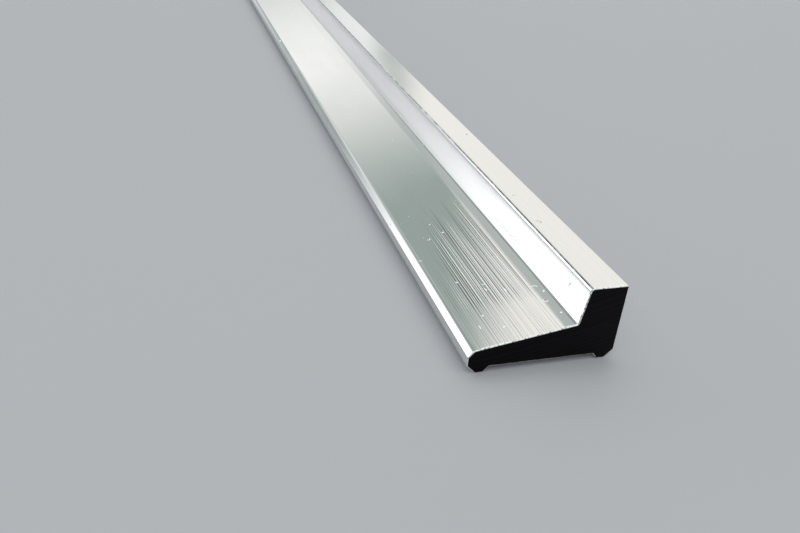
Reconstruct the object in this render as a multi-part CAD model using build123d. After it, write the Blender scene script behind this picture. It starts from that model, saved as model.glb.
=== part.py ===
from build123d import *
from math import radians, tan
import os

os.makedirs("parts", exist_ok=True)

# One straight bar of extruded aluminium, lying on its two feet, in millimetres and degrees.
# X runs along the bar, Y across it from the thin front edge to the tall back face, Z up.
# The origin is under the middle of the bar, on the floor.
bar_length = 1000.0

# Overall section
section_width = 19.0
section_height = 10.0

# Rebate: a sloping seat that meets a leaning wall
lip_height = 3.0      # thin front edge up to the seat, before the chamfer
seat_slope = 9.5      # rise of the seat towards the wall
wall_lean = 9.5       # lean of the wall back from upright
top_width = 4.8       # flat top, from the line of the wall to the back face

# Underside: a shallow recess leaves a foot along each edge
foot_chamfer = 1.1    # 45 degree chamfer between a foot and the side above it
foot_width = 1.0      # flat of a foot that touches the floor
recess_depth = 0.75
recess_flank = 0.65   # width of the slope from a foot up to the recess

# Edges of the die's opening
lip_chamfer = 0.72    # bevel between the front edge and the seat
lip_radius = 0.9      # rounding where that bevel runs into the seat
nose_chamfer = 0.25   # small bevel between the wall and the flat top
nose_radius = 0.65    # rounding where that bevel runs into the wall
corner_radius = 0.3   # rounding in the corner of the rebate
arris_radius = 0.15   # slight rounding of every other corner

front = -section_width / 2
back = section_width / 2


def rebate_corner():
    # Where the seat, drawn from the front edge, meets the wall, drawn from the flat top
    seat_rise = tan(radians(seat_slope))
    wall_run = tan(radians(wall_lean))
    wall_top = back - top_width
    drop = section_height - lip_height
    y = (wall_top - wall_run * (drop + seat_rise * front)) / (1 - wall_run * seat_rise)
    return Vector(y, lip_height + seat_rise * (y - front))


def outline_points():
    # Counter-clockwise from the front foot, as seen along the bar from its +X end
    corner = rebate_corner()
    wall_top = Vector(back - top_width, section_height)
    return {
        "front foot": Vector(front, 0),
        "back foot": Vector(back, 0),
        "back top": Vector(back, section_height),
        "nose": wall_top,
        "corner": corner,
        "lip": Vector(front, lip_height),
    }


def sharp_corners(section):
    # The corners between two straight lines, which no larger radius has rounded
    arc_ends = section.edges().filter_by(GeomType.CIRCLE).vertices()
    return [vertex for vertex in section.vertices() if vertex not in arc_ends]


def profile_section():
    points = outline_points()
    recess_mouth = section_width - 2 * (foot_chamfer + foot_width)
    flank_angle = Vector(recess_flank, recess_depth).get_angle(Vector(1, 0))

    with BuildSketch(Plane.YZ) as section:
        with BuildLine():
            Polyline(*points.values(), close=True)
        make_face()

        def vertices_at(*names):
            return [section.vertices().sort_by_distance(points[name])[0] for name in names]

        def bevel_ends(name):
            # The two ends of the bevel that a chamfer has left at a corner, lower one first
            return section.vertices().sort_by_distance(points[name])[:2].sort_by(Axis.Y)

        fillet(vertices_at("corner"), corner_radius)
        chamfer(vertices_at("front foot", "back foot"), foot_chamfer)
        chamfer(vertices_at("lip"), lip_chamfer)
        fillet(bevel_ends("lip")[-1], lip_radius)
        chamfer(vertices_at("nose"), nose_chamfer)
        fillet(bevel_ends("nose")[0], nose_radius)
        Trapezoid(recess_mouth, recess_depth, flank_angle, align=(Align.CENTER, Align.MIN), mode=Mode.SUBTRACT)
        fillet(sharp_corners(section), arris_radius)
    return section.sketch


profile_bar = extrude(profile_section(), amount=bar_length / 2, both=True)
export_step(profile_bar, "parts/profile_bar.step")
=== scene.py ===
import bpy
import bmesh
import math
from mathutils import Matrix, Vector


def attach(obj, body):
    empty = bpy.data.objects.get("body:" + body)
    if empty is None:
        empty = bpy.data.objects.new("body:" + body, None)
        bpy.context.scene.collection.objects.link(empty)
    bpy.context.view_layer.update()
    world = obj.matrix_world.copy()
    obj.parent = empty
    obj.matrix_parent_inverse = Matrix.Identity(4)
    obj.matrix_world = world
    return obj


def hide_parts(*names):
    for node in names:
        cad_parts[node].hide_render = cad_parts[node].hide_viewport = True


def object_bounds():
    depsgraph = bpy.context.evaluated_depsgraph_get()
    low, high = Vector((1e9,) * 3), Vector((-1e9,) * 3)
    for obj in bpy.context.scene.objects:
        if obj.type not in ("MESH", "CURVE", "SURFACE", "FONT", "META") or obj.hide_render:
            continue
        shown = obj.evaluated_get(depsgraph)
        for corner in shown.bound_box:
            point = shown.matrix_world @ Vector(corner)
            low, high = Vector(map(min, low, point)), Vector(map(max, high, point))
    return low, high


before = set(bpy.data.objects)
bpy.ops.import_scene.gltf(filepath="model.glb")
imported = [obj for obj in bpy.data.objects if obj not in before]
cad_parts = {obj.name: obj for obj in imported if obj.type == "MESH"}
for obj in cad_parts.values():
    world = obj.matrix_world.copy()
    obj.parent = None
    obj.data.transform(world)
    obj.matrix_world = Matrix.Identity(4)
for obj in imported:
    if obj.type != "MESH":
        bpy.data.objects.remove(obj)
cadLow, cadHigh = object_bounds()

mm = 0.001
barLength = cadHigh.x - cadLow.x


# small helpers for node trees

nodeGrid = {
    "columns": 7,
    "start": (-1900, 300),    # left of the nodes that a new tree already has
    "step": (230, -300),
}


def addNode(tree, kind, **settings):
    # nodes stand in rows, in the order in which they are made
    node = tree.nodes.new(kind)
    row, column = divmod(len(tree.nodes), nodeGrid["columns"])
    (startX, startY), (stepX, stepY) = nodeGrid["start"], nodeGrid["step"]
    node.location = (startX + column * stepX, startY + row * stepY)
    for name, value in settings.items():
        setattr(node, name, value)
    return node


def feed(socket, value):
    # the socket of another node is linked, and a plain value is set
    if isinstance(value, bpy.types.NodeSocket):
        socket.id_data.links.new(value, socket)
    elif value is not None:
        socket.default_value = value


def mathNode(tree, operation, first, second=None):
    node = addNode(tree, "ShaderNodeMath", operation=operation)
    feed(node.inputs[0], first)
    feed(node.inputs[1], second)
    return node.outputs[0]


def times(tree, first, second):
    return mathNode(tree, "MULTIPLY", first, second)


def vectorNode(tree, operation, first, second=None, scale=None):
    # the number to scale by comes after three vectors
    node = addNode(tree, "ShaderNodeVectorMath", operation=operation)
    for socket, value in ((0, first), (1, second), (3, scale)):
        feed(node.inputs[socket], value)
    return node.outputs["Value" if operation == "LENGTH" else "Vector"]


def splitVector(tree, vector):
    node = addNode(tree, "ShaderNodeSeparateXYZ")
    feed(node.inputs[0], vector)
    return tuple(node.outputs)


def joinVector(tree, x=None, y=None, z=None):
    node = addNode(tree, "ShaderNodeCombineXYZ")
    for socket, value in zip(node.inputs, (x, y, z)):
        feed(socket, value)
    return node.outputs[0]


def colourMix(tree, factor, first, second):
    # the colour sockets come after those for numbers and vectors
    node = addNode(tree, "ShaderNodeMix", data_type="RGBA")
    for socket, value in ((0, factor), (6, first), (7, second)):
        feed(node.inputs[socket], value)
    return node.outputs[2]


def rangeNode(tree, value, fromMin, fromMax, toMin=0.0, toMax=1.0, shape="SMOOTHSTEP"):
    node = addNode(tree, "ShaderNodeMapRange", interpolation_type=shape)
    sockets = ("Value", "From Min", "From Max", "To Min", "To Max")
    for name, number in zip(sockets, (value, fromMin, fromMax, toMin, toMax)):
        feed(node.inputs[name], number)
    return node.outputs["Result"]


def softStep(tree, value, limit, soft):
    # 0 below the limit and 1 above it, over a soft border of that width
    gap = mathNode(tree, "DIVIDE", mathNode(tree, "SUBTRACT", value, limit), soft)
    return rangeNode(tree, gap, -0.5, 0.5)


# the values that smooth noise seldom leaves
noiseReach = (0.3, 0.7)


def noiseNode(tree, place, detail=2.0, roughness=0.5, scale=1.0, dimensions="3D"):
    node = addNode(tree, "ShaderNodeTexNoise", noise_dimensions=dimensions)
    feed(node.inputs["W" if dimensions == "1D" else "Vector"], place)
    for name, value in (("Scale", scale), ("Detail", detail), ("Roughness", roughness)):
        feed(node.inputs[name], value)
    return node.outputs["Fac"]


def chosenCells(tree, place, scale, share):
    # cells of which a share is chosen at random; the last result is a random number of each cell
    cells = addNode(tree, "ShaderNodeTexVoronoi", voronoi_dimensions="2D")
    feed(cells.inputs["Vector"], place)
    feed(cells.inputs["Scale"], scale)
    chance = addNode(tree, "ShaderNodeSeparateColor")
    feed(chance.inputs[0], cells.outputs["Color"])
    return cells.outputs, mathNode(tree, "LESS_THAN", chance.outputs[0], share), chance.outputs[1]


def surfaceNormal(tree):
    return addNode(tree, "ShaderNodeNewGeometry").outputs["Normal"]


def leanNormal(tree, normal, lean):
    return vectorNode(tree, "NORMALIZE", vectorNode(tree, "ADD", normal, lean))


# places on the bar

# a step up counts as this much of a step across, so that the leaning wall has its lines too
heightShare = 0.7


def objectPlace(tree):
    return addNode(tree, "ShaderNodeTexCoord").outputs["Object"]


def stretchedPlace(tree, along, across):
    # object coordinates, finer across the bar than along it
    return vectorNode(tree, "MULTIPLY", objectPlace(tree), joinVector(tree, along, across, across))


def sectionPlace(tree):
    # across the sawn end
    x, y, z = splitVector(tree, objectPlace(tree))
    return joinVector(tree, y, z)


def surfacePlace(tree):
    # along the bar, and round its section
    x, y, z = splitVector(tree, objectPlace(tree))
    return joinVector(tree, x, mathNode(tree, "ADD", y, times(tree, z, heightShare)))


def wayToCut(tree, x):
    # distance from the nearer sawn end
    return mathNode(tree, "SUBTRACT", 0.5 * barLength, mathNode(tree, "ABSOLUTE", x))


# the bar: the extruded section drawn again with finely rounded corners

bar = {
    "lipHeight": 3.0 * mm,        # thin front edge up to the seat
    "seatSlope": 9.5,             # degrees
    "wallLean": 9.5,              # degrees
    "topWidth": 4.8 * mm,         # flat top up to the line of the wall
    "footChamfer": 1.1 * mm,
    "footWidth": 1.0 * mm,
    "recessDepth": 0.75 * mm,
    "recessFlank": 0.65 * mm,
    "lipChamfer": 0.72 * mm,
    "lipRadius": 0.9 * mm,        # where that chamfer runs into the seat
    "noseChamfer": 0.25 * mm,     # small bevel between the wall and the flat top
    "noseRadius": 0.65 * mm,      # rounding below that bevel
    "cornerRadius": 0.3 * mm,
    "arcSteps": 8,
    "arrisRadius": 0.15 * mm,
    "arrisSteps": 4,
    "arrisAngle": 20,             # a corner that turns by more degrees than this is an arris
    "cutBreak": 0.10 * mm,        # burred edge of the sawn ends
    "cutSteps": 2,
}


def sectionCorners(low, high):
    front, back, top = low.y, high.y, high.z
    rise = math.tan(math.radians(bar["seatSlope"]))
    run = math.tan(math.radians(bar["wallLean"]))
    noseY = back - bar["topWidth"]
    cornerY = (noseY - run * (top - bar["lipHeight"] + rise * front)) / (1 - run * rise)
    footEnd = bar["footChamfer"] + bar["footWidth"]
    ceilingEnd = footEnd + bar["recessFlank"]
    return {
        "frontFoot": (front, 0),
        "recessFront": (front + footEnd, 0),
        "ceilingFront": (front + ceilingEnd, bar["recessDepth"]),
        "ceilingBack": (back - ceilingEnd, bar["recessDepth"]),
        "recessBack": (back - footEnd, 0),
        "backFoot": (back, 0),
        "backTop": (back, top),
        "nose": (noseY, top),
        "corner": (cornerY, bar["lipHeight"] + rise * (cornerY - front)),
        "lip": (front, bar["lipHeight"]),
    }


def sweptSection(low, high, corners):
    mesh = bmesh.new()
    outline = [mesh.verts.new((low.x, y, z)) for y, z in corners.values()]
    start = mesh.faces.new(outline)
    sweep = bmesh.ops.extrude_face_region(mesh, geom=[start], use_keep_orig=True)
    moved = [item for item in sweep["geom"] if isinstance(item, bmesh.types.BMVert)]
    bmesh.ops.translate(mesh, verts=moved, vec=(high.x - low.x, 0, 0))
    bmesh.ops.recalc_face_normals(mesh, faces=mesh.faces)
    return mesh


def lengthwiseEdges(mesh):
    return [edge for edge in mesh.edges if abs(edge.verts[0].co.x - edge.verts[1].co.x) > 1 * mm]


def distanceTo(edge, corner):
    return (edge.verts[0].co.yz - Vector(corner)).length


def edgesAt(mesh, corners, *names):
    touching = 0.001 * mm
    return [edge for edge in lengthwiseEdges(mesh)
            if any(distanceTo(edge, corners[name]) < touching for name in names)]


def chamferEdges(mesh, corner):
    # the two edges that a chamfer has left beside a corner, lower one first
    nearest = sorted(lengthwiseEdges(mesh), key=lambda edge: distanceTo(edge, corner))[:2]
    return sorted(nearest, key=lambda edge: edge.verts[0].co.z)


def bevelOff(mesh, edges, width, steps=1):
    bmesh.ops.bevel(mesh, geom=edges, offset=width, offset_type="OFFSET", affect="EDGES", segments=steps,
                    profile=0.5, material=-1, clamp_overlap=True)


def roundOff(mesh, edges, radius, steps):
    # the bevel is as wide as the tangent of an arc of that radius
    for edge in edges:
        bevelOff(mesh, [edge], radius * math.tan(edge.calc_face_angle() / 2), steps)


def shapeCorners(mesh, corners):
    bevelOff(mesh, edgesAt(mesh, corners, "frontFoot", "backFoot"), bar["footChamfer"])
    roundOff(mesh, edgesAt(mesh, corners, "corner"), bar["cornerRadius"], bar["arcSteps"])
    bevelOff(mesh, edgesAt(mesh, corners, "nose"), bar["noseChamfer"])
    roundOff(mesh, chamferEdges(mesh, corners["nose"])[:1], bar["noseRadius"], bar["arcSteps"])
    bevelOff(mesh, edgesAt(mesh, corners, "lip"), bar["lipChamfer"])
    roundOff(mesh, chamferEdges(mesh, corners["lip"])[1:], bar["lipRadius"], bar["arcSteps"])
    arrisAngle = math.radians(bar["arrisAngle"])
    arrises = [edge for edge in lengthwiseEdges(mesh) if edge.calc_face_angle() > arrisAngle]
    roundOff(mesh, arrises, bar["arrisRadius"], bar["arrisSteps"])

    cutEdges = [edge for edge in mesh.edges if any(abs(face.normal.x) > 0.9 for face in edge.link_faces)]
    bevelOff(mesh, cutEdges, bar["cutBreak"], bar["cutSteps"])


def finishOf(face, corners):
    # told by the way that a face looks, and by its place in the section
    margin = 0.1 * mm
    middle, normal = face.calc_center_median(), face.normal
    cornerHeight = corners["corner"][1]
    if abs(normal.x) > 0.99:
        return "sawn"
    if abs(normal.x) > 0.01:
        return "burr"
    if normal.z > 0.9 and middle.z < cornerHeight + margin:
        return "seat"
    if middle.z > cornerHeight and middle.y < corners["backTop"][0] - margin:
        return "top" if normal.z > 0.6 else "wall"
    return "edges"


def makeBar(low, high, finishes):
    corners = sectionCorners(low, high)
    mesh = sweptSection(low, high, corners)
    shapeCorners(mesh, corners)
    slots = list(finishes)
    for face in mesh.faces:
        face.smooth = True
        face.material_index = slots.index(finishOf(face, corners))
    data = bpy.data.meshes.new("barSkin")
    mesh.to_mesh(data)
    mesh.free()
    for material in finishes.values():
        data.materials.append(material)
    skin = bpy.data.objects.new("bar_skin", data)
    bpy.context.scene.collection.objects.link(skin)
    flatten = skin.modifiers.new("flats stay flat", "WEIGHTED_NORMAL")
    flatten.mode = "FACE_AREA"
    flatten.weight = 100    # the most
    return skin


# effects that the materials share, each a node group built once

def newGroup(name, inputs):
    group = bpy.data.node_groups.new(name, "ShaderNodeTree")
    for label, value in inputs.items():
        kind = "NodeSocketFloat" if isinstance(value, float) else "NodeSocketVector"
        socket = group.interface.new_socket(name=label, in_out="INPUT", socket_type=kind)
        socket.default_value = value
    return group, addNode(group, "NodeGroupInput").outputs


def closeGroup(group, **results):
    for label, result in results.items():
        kind = "NodeSocketVector" if result.type == "VECTOR" else "NodeSocketFloat"
        group.interface.new_socket(name=label, in_out="OUTPUT", socket_type=kind)
    end = addNode(group, "NodeGroupOutput")
    for label, result in results.items():
        feed(end.inputs[label], result)


def useGroup(tree, name, values):
    node = addNode(tree, "ShaderNodeGroup", node_tree=bpy.data.node_groups[name])
    for label, value in values.items():
        feed(node.inputs[label], value)
    return node.outputs


dieLines = {
    "frontBorder": 5 * mm,        # how softly the band of lines ends towards the front edge
    "wallBorder": 0.3 * mm,       # and towards the wall
    "endBorder": 14 * mm,         # and along the bar
    "endShift": 6 * mm,           # each line ends up to this much sooner or later
    "endStretch": (8.0, 1500.0),  # per metre along and across, of the noise that says how much
    "faintBorder": 6 * mm,
    "faintest": 0.3,              # strength of the lines right beside the cut
    "bendStretch": 0.3,           # cycles of the bending noise for each line
    # over this range of the noise at its seed, a line goes from least to fully strong, deep or torn
    "strong": {"seed": (7.3, 2.9, 0.0), "noise": (0.38, 0.62), "least": 0.3},
    "deep": {"seed": (3.1, 8.7, 0.0), "noise": (0.36, 0.54), "least": 0.0},
    "torn": {"seed": (5.9, 4.3, 0.0), "noise": (0.42, 0.60), "least": 0.0},
}


def lineBand(group, start):
    # a band with soft borders, over a stretch near each sawn end; it widens towards the cut
    x, y, z = splitVector(group, objectPlace(group))
    toCut = wayToCut(group, x)
    lowest = mathNode(group, "ADD", start["From"], times(group, toCut, start["Skew"]))
    band = times(group, softStep(group, y, lowest, dieLines["frontBorder"]),
                 softStep(group, start["To"], y, dieLines["wallBorder"]))
    noise = noiseNode(group, stretchedPlace(group, *dieLines["endStretch"]), detail=1.0)
    shift = rangeNode(group, noise, *noiseReach, -dieLines["endShift"], dieLines["endShift"], "LINEAR")
    near = softStep(group, mathNode(group, "ADD", start["Reach"], shift), toCut, dieLines["endBorder"])
    clear = rangeNode(group, softStep(group, toCut, start["Faint"], dieLines["faintBorder"]), 0.0, 1.0,
                      toMin=dieLines["faintest"])
    return times(group, band, times(group, near, clear))


def someLines(group, fine, choice):
    noise = noiseNode(group, vectorNode(group, "ADD", fine, choice["seed"]), detail=1.0)
    return rangeNode(group, noise, *choice["noise"], toMin=choice["least"])


def makeDieLines():
    # the die draws fine streaks along the bar, which tilt the surface a little to either side
    group, start = newGroup("dieLines", {
        "Across": 2400.0, "Along": 30.0, "Tilt": 0.04, "Quiet": 0.1, "From": -1.0, "To": 1.0,
        "Skew": 0.0, "Reach": -1.0, "Faint": 0.0, "Scuffed": 0.0})
    loud = mathNode(group, "MAXIMUM", lineBand(group, start), start["Quiet"])

    # evenly spaced lines, bent out of step by noise
    stretch = joinVector(group, start["Along"], start["Across"])
    fine = vectorNode(group, "MULTIPLY", surfacePlace(group), stretch)
    x, count, z = splitVector(group, fine)
    across = vectorNode(group, "MULTIPLY", fine, (0.0, dieLines["bendStretch"], 0.0))
    bend = rangeNode(group, noiseNode(group, across, detail=1.0), *noiseReach, -0.5, 0.5, "LINEAR")
    turn = times(group, mathNode(group, "ADD", count, bend), 2 * math.pi)

    # each line has two flanks, which tilt to either side, a trough and a crest
    wave = mathNode(group, "COSINE", turn)
    flank = rangeNode(group, mathNode(group, "SINE", turn), -0.7, 0.7, -1.0, 1.0)
    trough = rangeNode(group, wave, 0.0, 0.7)
    crest = rangeNode(group, wave, -0.1, -0.9)

    # all lines tilt the surface, some of them more; some have a groove painted dark as shade, and some a
    # scuffed crest
    strong, deep, torn = (someLines(group, fine, dieLines[name]) for name in ("strong", "deep", "torn"))
    lean = times(group, times(group, flank, strong), times(group, loud, start["Tilt"]))
    dark = times(group, times(group, trough, deep), loud)
    bright = times(group, times(group, crest, torn), loud)
    normal = surfaceNormal(group)
    sideways = vectorNode(group, "CROSS_PRODUCT", normal, (1, 0, 0))
    closeGroup(group, Normal=leanNormal(group, normal, vectorNode(group, "SCALE", sideways, scale=lean)),
               Shade=mathNode(group, "SUBTRACT", 1.0, dark), Scuff=times(group, bright, start["Scuffed"]))


def makeSpecks():
    # scattered dots: one may lie in each cell, of its own size
    group, start = newGroup("specks", {
        "Place": (0.0, 0.0, 0.0), "Cells": 400.0, "Share": 0.3, "Size": 0.08})
    cells, chosen, chance = chosenCells(group, start["Place"], start["Cells"], start["Share"])
    inside = mathNode(group, "LESS_THAN", cells["Distance"], times(group, chance, start["Size"]))
    closeGroup(group, Mask=times(group, chosen, inside))


def arcMask(tree, offset, radius, width, facing, opening):
    # part of a ring, where the cosine of the bearing from its facing is above the opening
    x, y, z = splitVector(tree, offset)
    bearing = mathNode(tree, "ARCTAN2", y, x)
    swing = mathNode(tree, "COSINE", mathNode(tree, "SUBTRACT", bearing, facing))
    inside = mathNode(tree, "GREATER_THAN", swing, opening)
    gap = mathNode(tree, "SUBTRACT", vectorNode(tree, "LENGTH", offset), radius)
    return times(tree, inside, mathNode(tree, "LESS_THAN", mathNode(tree, "ABSOLUTE", gap), width))


def makeNicks():
    # short curved nicks, each part of a ring round the middle of its cell
    group, start = newGroup("nicks", {
        "Cells": 250.0, "Share": 0.2, "Ring": 0.12, "Width": 0.02, "Opening": 0.2})
    scaled = vectorNode(group, "SCALE", surfacePlace(group), scale=start["Cells"])
    cells, chosen, chance = chosenCells(group, scaled, 1.0, start["Share"])
    offset = vectorNode(group, "SUBTRACT", scaled, cells["Position"])
    facing = times(group, chance, 2 * math.pi)
    arc = arcMask(group, offset, start["Ring"], start["Width"], facing, start["Opening"])
    closeGroup(group, Mask=times(group, arc, chosen))


def makeOneNick():
    # a curved nick at a place of its own
    group, start = newGroup("oneNick", {
        "Centre": (0.0, 0.0, 0.0), "Radius": 0.2 * mm, "Width": 0.03 * mm, "Facing": 0.0, "Opening": 0.2})
    offset = vectorNode(group, "SUBTRACT", objectPlace(group), start["Centre"])
    flat = vectorNode(group, "MULTIPLY", offset, (1, 1, 0))
    arc = arcMask(group, flat, start["Radius"], start["Width"], start["Facing"], start["Opening"])
    closeGroup(group, Mask=arc)


def makePaintedDarkLine():
    # a thin uneven painted dark line along the bar, at one place of the section
    group, start = newGroup("paintedDarkLine", {
        "Place": (0.0, 0.0, 0.0), "Width": 0.06 * mm, "Along": 600.0, "Least": 0.2})
    place = objectPlace(group)
    offset = vectorNode(group, "SUBTRACT", place, start["Place"])
    away = vectorNode(group, "LENGTH", vectorNode(group, "MULTIPLY", offset, (0, 1, 1)))
    along = vectorNode(group, "SCALE", place, scale=start["Along"])
    uneven = rangeNode(group, noiseNode(group, along, detail=3.0, roughness=0.6), 0.35, 0.6,
                       toMin=start["Least"])
    closeGroup(group, Mask=mathNode(group, "LESS_THAN", away, times(group, uneven, start["Width"])))


def makeCutBurr():
    # the saw has pulled up a thin ragged rim along each cut, where the surface leans towards the end
    group, start = newGroup("cutBurr", {"Reach": 0.2 * mm, "Clumps": 1500.0, "Lean": 0.38})
    place = objectPlace(group)
    x, y, z = splitVector(group, place)
    noise = noiseNode(group, vectorNode(group, "SCALE", place, scale=start["Clumps"]), detail=1.0)
    reach = times(group, rangeNode(group, noise, 0.35, 0.65, toMin=0.4, toMax=1.3), start["Reach"])
    rim = mathNode(group, "LESS_THAN", wayToCut(group, x), reach)
    outward = times(group, rim, mathNode(group, "SIGN", x))
    closeGroup(group, Lean=joinVector(group, times(group, outward, start["Lean"])))


def makeHollow():
    # the seat runs a little flatter beside the wall
    group, start = newGroup("hollow", {"From": 1.8 * mm, "To": 2.3 * mm, "Lean": 0.035})
    x, y, z = splitVector(group, objectPlace(group))
    inside = rangeNode(group, y, start["From"], start["To"])
    closeGroup(group, Lean=joinVector(group, y=times(group, inside, start["Lean"])))


def makeSmudges():
    # uneven handling marks, a little longer along the bar
    group, start = newGroup("smudges", {"Across": 220.0, "Along": 60.0, "Least": 0.08, "Most": 0.16})
    place = stretchedPlace(group, start["Along"], start["Across"])
    mask = rangeNode(group, noiseNode(group, place, detail=4.0, roughness=0.6), 0.35, 0.7)
    spread = rangeNode(group, mask, 0.0, 1.0, start["Least"], start["Most"], "LINEAR")
    closeGroup(group, Roughness=spread)


def makeSawMarks():
    # arcs that the saw blade leaves across a cut end
    group, start = newGroup("sawMarks", {
        "Blade Centre": (0.0, -0.03, 0.14), "Across": 5200.0, "Tilt": 0.25})
    flat = vectorNode(group, "MULTIPLY", objectPlace(group), (0, 1, 1))
    spoke = vectorNode(group, "SUBTRACT", flat, start["Blade Centre"])
    rings = times(group, vectorNode(group, "LENGTH", spoke), start["Across"])
    noise = noiseNode(group, rings, detail=3.0, roughness=0.65, dimensions="1D")
    streak = mathNode(group, "SUBTRACT", noise, 0.5)
    outward = vectorNode(group, "NORMALIZE", spoke)
    lean = vectorNode(group, "SCALE", outward, scale=times(group, streak, start["Tilt"]))
    closeGroup(group, Normal=leanNormal(group, surfaceNormal(group), lean),
               Shade=rangeNode(group, streak, -0.2, 0.2))


# finishes of the aluminium, with painted shade down the die lines, along thin dark lines and over the sawn
# end

seatFinish = {
    "bright": (0.89, 0.89, 0.885, 1),
    "shadedGroove": (0.16, 0.165, 0.165, 1),     # painted shade down in the die lines
    "scuffed": (0.92, 0.92, 0.91, 1),       # colour of a scuffed crest
    "nicked": (0.89, 0.89, 0.885, 1),       # colour on the raised rim of a nick
    "paintedDarkLineColour": (0.55, 0.55, 0.55, 1),
    "lines": {
        "Across": 3000.0, "Along": 22.0, "Tilt": 0.043, "Quiet": 0.01, "From": -8.6 * mm, "To": 2.2 * mm,
        "Skew": 0.15, "Reach": 28.5 * mm, "Faint": 8 * mm, "Scuffed": 1.0},
    "hollow": {"From": 1.8 * mm, "To": 2.3 * mm, "Lean": 0.035},
    "smudges": {"Across": 220.0, "Along": 60.0, "Least": 0.07, "Most": 0.12},
    "dust": {"Cells": 560.0, "Share": 0.20, "Size": 0.055},
    "nicks": {"Cells": 240.0, "Share": 0.03, "Ring": 0.06, "Width": 0.012, "Opening": 0.3},
    # millimetres along and across, radius, half the line's width, facing in degrees, and how short the
    # arc is, from -1 for a whole ring to 1 for none
    "placed": [
        (474, -5.8, 0.22, 0.06, 30, -0.2),
        (473, -3.3, 0.08, 0.08, 0, -1.0),
        (470, -4.3, 0.06, 0.06, 0, -1.0),
        (486, -6.0, 0.16, 0.08, 120, 0.2),
        (491, 2.5, 0.45, 0.07, 160, 0.5),
        (492, 3.1, 0.22, 0.08, 60, 0.4),
        (494, 2.6, 0.30, 0.07, -40, -0.2),
        (489, -3.6, 0.50, 0.08, 100, 0.8),
        (490, -1.5, 0.60, 0.09, 90, 0.8),
        (497, -4.0, 0.08, 0.08, 0, -1.0),
        (496, -7.5, 0.90, 0.08, 90, 0.93),
        (494, -5.5, 0.07, 0.07, 0, -1.0),
        (497, 3.2, 0.07, 0.07, 0, -1.0),
    ],
    # painted shade along the seat's inner corner beside the wall
    "paintedDarkLine": {"Place": (0, 3.66 * mm, 5.20 * mm), "Width": 0.08 * mm, "Along": 120.0, "Least": 0.7},
}

topFinish = {
    "bright": (0.89, 0.89, 0.885, 1),
    # painted shade down in the die lines
    "shadedGroove": (0.80, 0.80, 0.80, 1),
    "nicked": (0.20, 0.20, 0.20, 1),
    "paintedDarkLineColour": (0.12, 0.12, 0.12, 1),
    "lines": {"Across": 1500.0, "Along": 10.0, "Tilt": 0.01, "Quiet": 0.2},
    "smudges": {"Across": 220.0, "Along": 60.0, "Least": 0.07, "Most": 0.12},
    "dust": {"Cells": 420.0, "Share": 0.02, "Size": 0.05},
    "nicks": {"Cells": 240.0, "Share": 0.03, "Ring": 0.08, "Width": 0.014, "Opening": 0.5},
    "placed": [
        (474, 6.2, 0.45, 0.04, 0, 0.87),
        (483, 5.9, 0.42, 0.05, 125, 0.2),
    ],
    # a painted dark reflection along the nose between the wall and the top
    "paintedDarkLine": {"Place": (0, 4.80 * mm, 9.93 * mm), "Width": 0.075 * mm, "Along": 700.0, "Least": 0.5},
}

wallFinish = {
    "bright": (0.89, 0.89, 0.885, 1),
    # painted shade down in the die lines
    "shadedGroove": (0.80, 0.80, 0.80, 1),
    "nicked": (0.89, 0.89, 0.885, 1),
    "paintedDarkLineColour": (0.12, 0.12, 0.12, 1),
    "lines": {"Across": 1500.0, "Along": 10.0, "Tilt": 0.01, "Quiet": 0.1},
    "smudges": {"Across": 220.0, "Along": 60.0, "Least": 0.09, "Most": 0.14},
    "dust": {"Cells": 420.0, "Share": 0.02, "Size": 0.05},
    "nicks": {"Cells": 240.0, "Share": 0.02, "Ring": 0.08, "Width": 0.014, "Opening": 0.5},
    "placed": [],
    "paintedDarkLine": topFinish["paintedDarkLine"],    # one painted dark line, between the wall and the top, standing in for the dark reflection along the nose
}

edgeFinish = {
    "bright": (0.88, 0.88, 0.88, 1),
    # painted shade down in the die lines
    "shadedGroove": (0.72, 0.72, 0.73, 1),
    "nicked": (0.88, 0.88, 0.88, 1),
    "lines": {"Across": 1500.0, "Along": 10.0, "Tilt": 0.05, "Quiet": 0.3},
    "smudges": {"Across": 260.0, "Along": 60.0, "Least": 0.09, "Most": 0.16},
    "dust": {"Cells": 420.0, "Share": 0.05, "Size": 0.06},
    "nicks": {"Cells": 240.0, "Share": 0.03, "Ring": 0.09, "Width": 0.02, "Opening": 0.3},
    "placed": [],
}

sawnFinishAndShade = {
    # the sawn end's near-black colours are painted shade, with the saw grooves painted darker still
    "ridge": (0.015, 0.012, 0.013, 1),
    "groove": (0.006, 0.005, 0.006, 1),
    "marks": {"Blade Centre": (0.0, -0.03, 0.14), "Across": 5200.0, "Tilt": 0.25},
    "roughness": 0.40,
    "dust": {"Cells": 380.0, "Share": 0.10, "Size": 0.09},
}

burrFinish = {
    "bright": (0.95, 0.95, 0.94, 1),
    "dull": (0.35, 0.35, 0.35, 1),
    "roughness": 0.30,
    "clumps": 3200.0,             # per metre
    "tilt": 0.5,
}

dustColour = (0.80, 0.81, 0.80, 1)
mattRoughness = 0.6                         # of dust and of scuffed crests
nickTilt = Vector((0.33, -0.31, 0.0))       # the raised side of a nick looks up at the lights
cutRim = {"Reach": 0.2 * mm, "Clumps": 1500.0, "Lean": 0.38}


def newMaterial(name):
    material = bpy.data.materials.new(name)
    material.use_nodes = True
    tree = material.node_tree
    return material, tree, tree.nodes["Principled BSDF"].inputs


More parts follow.
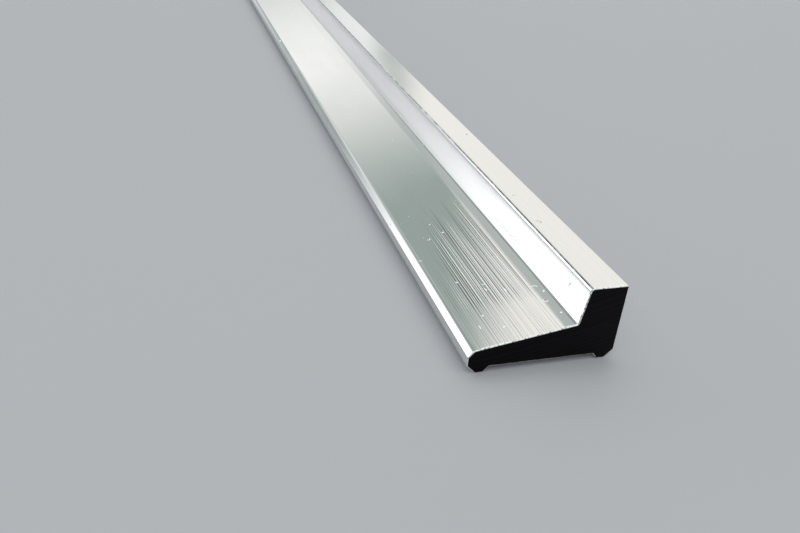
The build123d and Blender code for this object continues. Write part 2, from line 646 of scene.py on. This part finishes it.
def skinMaterial(name, look):
    material, tree, shader = newMaterial(name)
    lines = useGroup(tree, "dieLines", look["lines"])
    smudges = useGroup(tree, "smudges", look["smudges"])
    dust = useGroup(tree, "specks", {"Place": surfacePlace(tree), **look["dust"]})["Mask"]
    nicked = useGroup(tree, "nicks", look["nicks"])["Mask"]
    for along, across, radius, width, facing, opening in look["placed"]:
        nick = useGroup(tree, "oneNick", {
            "Centre": (along * mm, across * mm, 0), "Radius": radius * mm, "Width": width * mm,
            "Facing": math.radians(facing), "Opening": opening})
        nicked = mathNode(tree, "MAXIMUM", nicked, nick["Mask"])

    # the die lines' grooves are painted darker, as shade
    colour = colourMix(tree, lines["Shade"], look["shadedGroove"], look["bright"])
    # painted dark lines: shade in the seat's inner corner, and a dark reflection along the nose
    if "paintedDarkLine" in look:
        paintedDarkLine = useGroup(tree, "paintedDarkLine", look["paintedDarkLine"])
        colour = colourMix(tree, paintedDarkLine["Mask"], colour, look["paintedDarkLineColour"])
    colour = colourMix(tree, nicked, colour, look["nicked"])
    if "scuffed" in look:
        colour = colourMix(tree, lines["Scuff"], colour, look["scuffed"])
    feed(shader["Base Color"], colourMix(tree, dust, colour, dustColour))

    # dust and scuffed crests are matt
    matt = mathNode(tree, "MAXIMUM", dust, lines["Scuff"])
    feed(shader["Metallic"], mathNode(tree, "SUBTRACT", 1.0, matt))
    dusty = times(tree, matt, mattRoughness)
    feed(shader["Roughness"], mathNode(tree, "MAXIMUM", smudges["Roughness"], dusty))

    # the die lines, nicks and cut edges all lean the surface
    raised = vectorNode(tree, "SCALE", nickTilt, scale=nicked)
    raised = vectorNode(tree, "ADD", raised, useGroup(tree, "cutBurr", cutRim)["Lean"])
    if "hollow" in look:
        raised = vectorNode(tree, "ADD", raised, useGroup(tree, "hollow", look["hollow"])["Lean"])
    feed(shader["Normal"], leanNormal(tree, lines["Normal"], raised))
    return material


def sawnMaterial():
    look = sawnFinishAndShade
    material, tree, shader = newMaterial("sawn_end_painted_shade")
    marks = useGroup(tree, "sawMarks", look["marks"])
    dust = useGroup(tree, "specks", {"Place": sectionPlace(tree), **look["dust"]})["Mask"]
    # painted shade: the sawn end is coloured nearly black, darker down the saw marks
    paintedShadeMetal = colourMix(tree, marks["Shade"], look["groove"], look["ridge"])
    feed(shader["Base Color"], colourMix(tree, dust, paintedShadeMetal, dustColour))
    feed(shader["Metallic"], mathNode(tree, "SUBTRACT", 1.0, dust))
    feed(shader["Roughness"], look["roughness"])
    feed(shader["Normal"], marks["Normal"])
    return material


def burrMaterial():
    look = burrFinish
    material, tree, shader = newMaterial("burred_edge")
    clumps = noiseNode(tree, objectPlace(tree), scale=look["clumps"])
    patchy = rangeNode(tree, clumps, 0.38, 0.5)
    feed(shader["Base Color"], colourMix(tree, patchy, look["dull"], look["bright"]))
    away = vectorNode(tree, "SUBTRACT", clumps.node.outputs["Color"], (0.5, 0.5, 0.5))
    lean = vectorNode(tree, "SCALE", away, scale=look["tilt"])
    feed(shader["Normal"], leanNormal(tree, surfaceNormal(tree), lean))
    feed(shader["Metallic"], 1.0)
    feed(shader["Roughness"], look["roughness"])
    return material


# studio

studio = {
    "floorRadius": 2.6,
    "floorSides": 96,
    "floorDrop": 0.02 * mm,       # the floor lies this far under the feet
    "floorColour": (0.54, 0.53, 0.57, 1),
    "floorRoughness": 0.75,
    "worldColour": (0.33, 0.39, 0.37, 1),
    "horizonColour": (0.44, 0.465, 0.48, 1),
    "horizonTop": (2, 9),         # degrees over which the horizon's colour gives way
    "aim": Vector((0.43, 0.0, 0.005)),    # the softboxes stand round this point
    "distance": 5.0,
}

# all in degrees but the glow and the tint: side from straight beyond the far end, positive towards the thin
# front edge, height above the floor, size, and width of the soft border across and up
softboxes = {
    "key_left": {"side": 46, "height": 11, "wide": 50, "tall": 26, "fade": (25, 13),
                 "glow": 2.00, "tint": (1, 1, 1)},
    "low_left": {"side": 28, "height": 3, "wide": 48, "tall": 9, "fade": (6, 3),
                 "glow": 0.31, "tint": (1, 0.94, 1)},
    "high_left": {"side": 28, "height": 20, "wide": 42, "tall": 18, "fade": (8, 5),
                  "glow": 0.44, "tint": (1, 0.9, 0.93)},
    "top_left": {"side": 5, "height": 39, "wide": 11, "tall": 30, "fade": (3, 6),
                 "glow": 0.19, "tint": (1, 0.9, 0.95)},
    "behind": {"side": -4.7, "height": 17.8, "wide": 25, "tall": 24.0, "fade": (3, 12),
               "glow": 0.60, "tint": (1, 0.91, 0.92)},
    "window": {"side": -2, "height": 14.6, "wide": 11, "tall": 10, "fade": (1.5, 0.8),
               "glow": 0.06, "tint": (1, 1, 1)},
    "behind_right": {"side": -33.4, "height": 28, "wide": 35, "tall": 46, "fade": (5, 6),
                     "glow": 0.60, "tint": (1, 0.88, 0.85)},
    "low_right": {"side": -30, "height": 9, "wide": 44, "tall": 12, "fade": (9, 4),
                  "glow": 0.40, "tint": (1, 1, 1)},
    "overhead": {"side": 10, "height": 99, "wide": 110, "tall": 100, "fade": (14, 10),
                 "glow": 0.66, "tint": (1, 1, 1)},
}


def directionOf(side, height):
    turn, climb = math.radians(side), math.radians(height)
    return Vector((-math.cos(turn) * math.cos(climb), -math.sin(turn) * math.cos(climb), math.sin(climb)))


def makeSoftbox(name, box):
    distance = studio["distance"]
    data = bpy.data.lights.new(name, "AREA")
    data.shape = "RECTANGLE"
    data.size = 2 * distance * math.tan(math.radians(box["wide"] / 2))
    data.size_y = 2 * distance * math.tan(math.radians(box["tall"] / 2))
    data.energy = box["glow"] * math.pi * data.size * data.size_y
    data.color = box["tint"]
    data.use_nodes = True
    tree = data.node_tree
    # over a lamp, the parametric places run from 0 to 1, and its light fades towards the borders
    places = splitVector(tree, addNode(tree, "ShaderNodeNewGeometry").outputs["Parametric"])
    fades = []
    for place, fade, whole in zip(places, box["fade"], (box["wide"], box["tall"])):
        away = mathNode(tree, "ABSOLUTE", mathNode(tree, "SUBTRACT", place, 0.5))
        fades.append(rangeNode(tree, away, 0.5 - fade / whole, 0.5, toMin=1.0, toMax=0.0))
    feed(tree.nodes["Emission"].inputs["Strength"], times(tree, *fades))
    lamp = bpy.data.objects.new(name, data)
    toward = directionOf(box["side"], box["height"])
    lamp.location = studio["aim"] + toward * distance
    lamp.rotation_euler = toward.to_track_quat("Z", "Y").to_euler()
    lamp.visible_camera = False
    bpy.context.scene.collection.objects.link(lamp)


def makeWorld():
    world = bpy.data.worlds.new("studio")
    bpy.context.scene.world = world
    world.use_nodes = True
    tree = world.node_tree
    x, y, z = splitVector(tree, addNode(tree, "ShaderNodeTexCoord").outputs["Generated"])
    low, high = (math.sin(math.radians(angle)) for angle in studio["horizonTop"])
    colour = colourMix(tree, rangeNode(tree, z, low, high), studio["horizonColour"], studio["worldColour"])
    feed(tree.nodes["Background"].inputs["Color"], colour)


def makeFloor():
    mesh = bmesh.new()
    bmesh.ops.create_circle(mesh, cap_ends=True, segments=studio["floorSides"],
                            radius=studio["floorRadius"])
    bmesh.ops.translate(mesh, verts=mesh.verts, vec=(0, 0, -studio["floorDrop"]))
    data = bpy.data.meshes.new("floor")
    mesh.to_mesh(data)
    mesh.free()
    floor = bpy.data.objects.new("floor", data)
    bpy.context.scene.collection.objects.link(floor)
    material, tree, shader = newMaterial("pale_floor")
    feed(shader["Base Color"], studio["floorColour"])
    feed(shader["Roughness"], studio["floorRoughness"])
    data.materials.append(material)


# camera, at the photograph's angle on the near end

camera = {
    "place": Vector((0.56452, -0.04057, 0.05347)),
    "heading": 71.15,         # degrees from +Y, counter-clockwise seen from above
    "tilt": 60.58,            # 90 is level
    "roll": 4.97,
    "lens": 34.64,
    "sensor": 36.0,
    "clip": (1 * mm, 50.0),
}


def makeCamera():
    data = bpy.data.cameras.new("camera")
    data.lens = camera["lens"]
    data.sensor_width = camera["sensor"]
    data.clip_start, data.clip_end = camera["clip"]
    view = bpy.data.objects.new("camera", data)
    matrix = Matrix.Translation(camera["place"])
    for name, axis in (("heading", "Z"), ("tilt", "X"), ("roll", "Z")):
        matrix = matrix @ Matrix.Rotation(math.radians(camera[name]), 4, axis)
    view.matrix_world = matrix
    bpy.context.scene.collection.objects.link(view)
    bpy.context.scene.camera = view


print("camera and studio")
makeCamera()
makeWorld()
makeFloor()
for name, box in softboxes.items():
    makeSoftbox(name, box)

print("finishes")
for makeEffect in (makeDieLines, makeSpecks, makeNicks, makeOneNick, makePaintedDarkLine, makeCutBurr, makeHollow,
                   makeSmudges, makeSawMarks):
    makeEffect()
finishes = {
    "seat": skinMaterial("drawn_seat", seatFinish),
    "top": skinMaterial("flat_top", topFinish),
    "edges": skinMaterial("edges_and_back", edgeFinish),
    "sawn": sawnMaterial(),
    "burr": burrMaterial(),
    "wall": skinMaterial("leaning_wall", wallFinish),
}

print("bar")
skin = makeBar(cadLow, cadHigh, finishes)
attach(skin, "root")
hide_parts("profile_bar")

bpy.context.scene.view_settings.view_transform = "Standard"
